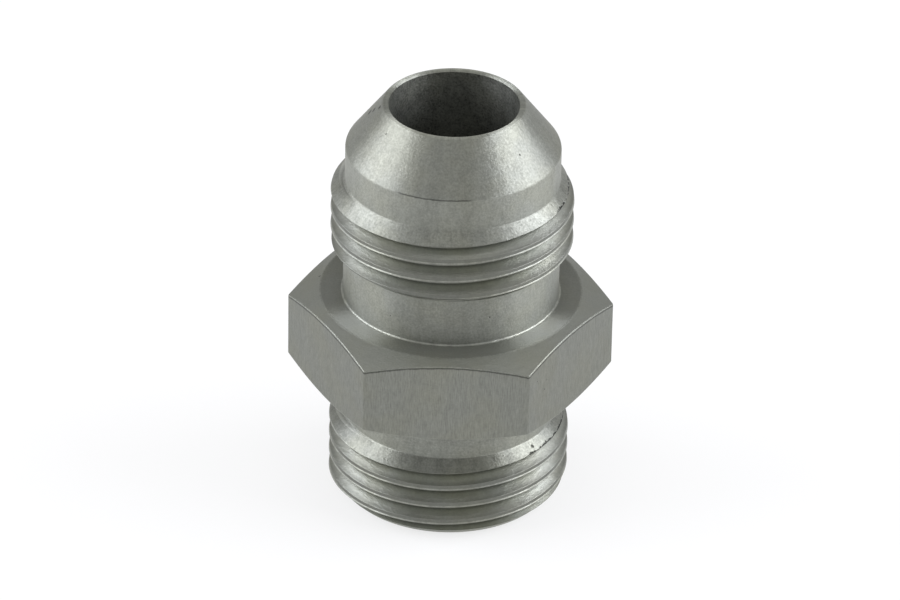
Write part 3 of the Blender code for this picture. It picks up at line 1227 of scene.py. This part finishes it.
def is_chamfer(face):
    radius, height = place_of(face)
    outside_seat = height < HEX_BOTTOM + CHAMFER_REACH and radius > HEX_SEAT_RADIUS + EDGE_SLACK
    outside_ring = height > HEX_TOP - CHAMFER_REACH and radius > HEX_RING_RADIUS + EDGE_SLACK
    return (outside_seat or outside_ring) and tilted_as_chamfer(face)


def is_ring(face):
    """True on the flat ring above and the flat seat below the hexagon."""
    radius, height = place_of(face)
    outside_neck = NECK_RADIUS + NECK_FILLET < radius < HEX_RING_RADIUS
    on_hexagon = outside_neck and HEX_BOTTOM - EDGE_SLACK < height < HEX_TOP + EDGE_SLACK
    return on_hexagon and tilt(face) > LEAST_RING_TILT


def is_fillet(face):
    """True on the small fillets where both necks meet the hexagon."""
    radius, height = place_of(face)
    at_foot = NECK_RADIUS + PLACE_TOLERANCE < radius < NECK_RADIUS + NECK_FILLET
    return at_foot and HEX_BOTTOM - NECK_FILLET < height < HEX_TOP + NECK_FILLET


def is_lip(face):
    return place_of(face)[1] > TOTAL_LENGTH - MOUTH_CHAMFER and face.normal.z > LEAST_LIP_TILT


def is_bore(face):
    return place_of(face)[0] < BORE_RADIUS + PLACE_TOLERANCE and tilt(face) < MOST_BORE_TILT


# %% Tell the faces of the threads apart
CREST_DEPTH = 0.002 * MM
FLARE_START_LENGTH = 1.3 * MM
STUD_START_LENGTH = 1.2 * MM
CONE_TILTS = (0.68, 0.73)
RIDGE_TILTS = (0.3, 0.6)
MOST_CREST_TILT = 0.2


def is_coned(face):
    """True on the cones of 45 degrees that start each thread."""
    return CONE_TILTS[0] < tilt(face) < CONE_TILTS[1]


def starts_thread(face, top, length):
    return is_coned(face) and top - length < place_of(face)[1] < top


def on_threads(face):
    radius, height = place_of(face)
    threaded = height < STUD_THREAD_TOP or FLARE_THREAD_BOTTOM < height < FLARE_THREAD_TOP
    return threaded and radius > ROOT_RADIUS - PLACE_TOLERANCE and not is_coned(face)


def is_flank(face):
    """True on flanks and roots, and not on crests or the coned start faces."""
    return on_threads(face) and place_of(face)[0] < CREST_RADIUS - CREST_DEPTH


def near_crest(face):
    return on_threads(face) and place_of(face)[0] > CREST_RADIUS - CREST_DEPTH


def is_crest(face):
    """True on the flats of the crests, and not on the ridge at their edge."""
    return near_crest(face) and tilt(face) < MOST_CREST_TILT


def is_ridge(face):
    return near_crest(face) and RIDGE_TILTS[0] < face.normal.z < RIDGE_TILTS[1]


# %% Give each face its finish
FINISHES = [
    (turned_steel, lambda face: True),
    (drawn_steel, is_flat),
    (thread_steel, is_flank),
    (shaded_bored_steel, is_bore),
    (chamfer_steel, is_chamfer),
    (faced_steel, is_ring),
    (flare_start_steel, lambda face: starts_thread(face, FLARE_THREAD_TOP, FLARE_START_LENGTH)),
    (stud_start_steel_shaded, lambda face: starts_thread(face, STUD_THREAD_TOP, STUD_START_LENGTH)),
    (crest_steel, is_crest),
    (lip_steel, is_lip),
    (burnished_steel, is_ridge),
    (burnished_steel, is_fillet),
]


def finish_faces(piece, material, wanted):
    count = pick(piece, 'FACE', wanted)
    piece.active_material_index = piece.data.materials.find(material.name)
    bpy.ops.object.material_slot_assign()
    print(material.name, "on", count, "faces")


fitting.data.materials.clear()
for material, wanted in FINISHES:
    if fitting.data.materials.find(material.name) < 0:
        fitting.data.materials.append(material)
work_on(fitting)
for material, wanted in FINISHES:
    finish_faces(fitting, material, wanted)
stop_editing()
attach(fitting, "root")
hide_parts("adapter_body")

# %% [markdown]
# ## The stage
#
# The catalogue picture has a plain white ground. Stronger lamps would whiten a
# floor, but they would burn out the steel as well. So the floor is a diffuse
# white sheet, and for rays that look straight at it, or see it mirrored in the
# metal, most of it glows at a strength of exactly one. The rest stays diffuse,
# so the fitting still drops a soft shadow on it.

# %% Floor
FLOOR_SIZE = 6.0
FLOOR_WHITE = 0.9
FLOOR_GLOW_SHARE = 0.7


def white_floor_material():
    material = bpy.data.materials.new("white_floor")
    material.use_nodes = True
    tree = material.node_tree
    tree.nodes.clear()
    rays = tree.nodes.new("ShaderNodeLightPath")
    seen = calculate(tree, 'MAXIMUM', rays.outputs["Is Camera Ray"], rays.outputs["Is Glossy Ray"])
    seen_at_all = calculate(tree, 'MAXIMUM', seen, rays.outputs["Is Transmission Ray"])
    matt = tree.nodes.new("ShaderNodeBsdfDiffuse")
    matt.inputs["Color"].default_value = (FLOOR_WHITE, FLOOR_WHITE, FLOOR_WHITE, 1.0)
    glow = tree.nodes.new("ShaderNodeEmission")
    glow.inputs["Color"].default_value = (1.0, 1.0, 1.0, 1.0)
    blend = tree.nodes.new("ShaderNodeMixShader")
    tree.links.new(calculate(tree, 'MULTIPLY', seen_at_all, FLOOR_GLOW_SHARE), blend.inputs[0])
    tree.links.new(matt.outputs[0], blend.inputs[1])
    tree.links.new(glow.outputs[0], blend.inputs[2])
    output = tree.nodes.new("ShaderNodeOutputMaterial")
    tree.links.new(blend.outputs[0], output.inputs["Surface"])
    return material


deselect_everything()
bpy.ops.mesh.primitive_plane_add(size=FLOOR_SIZE)
floor = bpy.context.active_object
floor.name = "floor"
floor.data.materials.append(white_floor_material())
print("floor:", FLOOR_SIZE, "m wide")

# %% [markdown]
# ## The light
#
# The room is an even, pale grey with a lighter ceiling, which a world of one
# colour couldn't give. Two large soft boxes stand to the left and right of the
# fitting. They make the two broad bright patches on the cone and on the
# shoulders of both threads, and leave the middle calm. One big box overhead
# would light the middle instead.

# %% Soft boxes
LAMP_HUE = (0.915, 0.93, 1.0)
BOX_DISTANCE = 0.22
BOX_WIDTH = 0.22
BOX_HEIGHT = 0.12
BOX_ELEVATION = math.radians(26.0)


def add_soft_box(name, azimuth, radiance):
    """An oblong lamp that shines at the fitting from the given direction."""
    back = direction(azimuth, BOX_ELEVATION)
    data = bpy.data.lights.new(name, 'AREA')
    data.shape = 'RECTANGLE'
    data.size = BOX_WIDTH
    data.size_y = BOX_HEIGHT
    data.energy = radiance * math.pi * BOX_WIDTH * BOX_HEIGHT
    data.color = LAMP_HUE
    lamp = bpy.data.objects.new(name, data)
    bpy.context.scene.collection.objects.link(lamp)
    lamp.location = back * BOX_DISTANCE + Vector((0.0, 0.0, CAMERA_AIM_HEIGHT))
    lamp.rotation_euler = back.to_track_quat('Z', 'Y').to_euler()
    print(name, "shines", round(data.energy, 2), "W")


add_soft_box("right_soft_box", azimuth=math.radians(-2.0), radiance=5.7)
add_soft_box("left_soft_box", azimuth=math.radians(182.0), radiance=4.9)

# %% Room
ROOM_LEVEL = 0.56
CEILING_LEVEL = 1.05
CEILING_START = 0.84
CEILING_FULL = 0.98

world = bpy.data.worlds.new("pale_room")
bpy.context.scene.world = world
world.use_nodes = True
room = world.node_tree
look = room.nodes.new("ShaderNodeTexCoord")
upward = room.nodes.new("ShaderNodeSeparateXYZ")
room.links.new(look.outputs["Generated"], upward.inputs[0])
level = smooth_step(room, upward.outputs[2], CEILING_START, CEILING_FULL, ROOM_LEVEL, CEILING_LEVEL)
room.links.new(level, room.nodes["Background"].inputs["Color"])
bpy.context.scene.view_settings.view_transform = 'Standard'
print("room at", ROOM_LEVEL, "and ceiling at", CEILING_LEVEL)
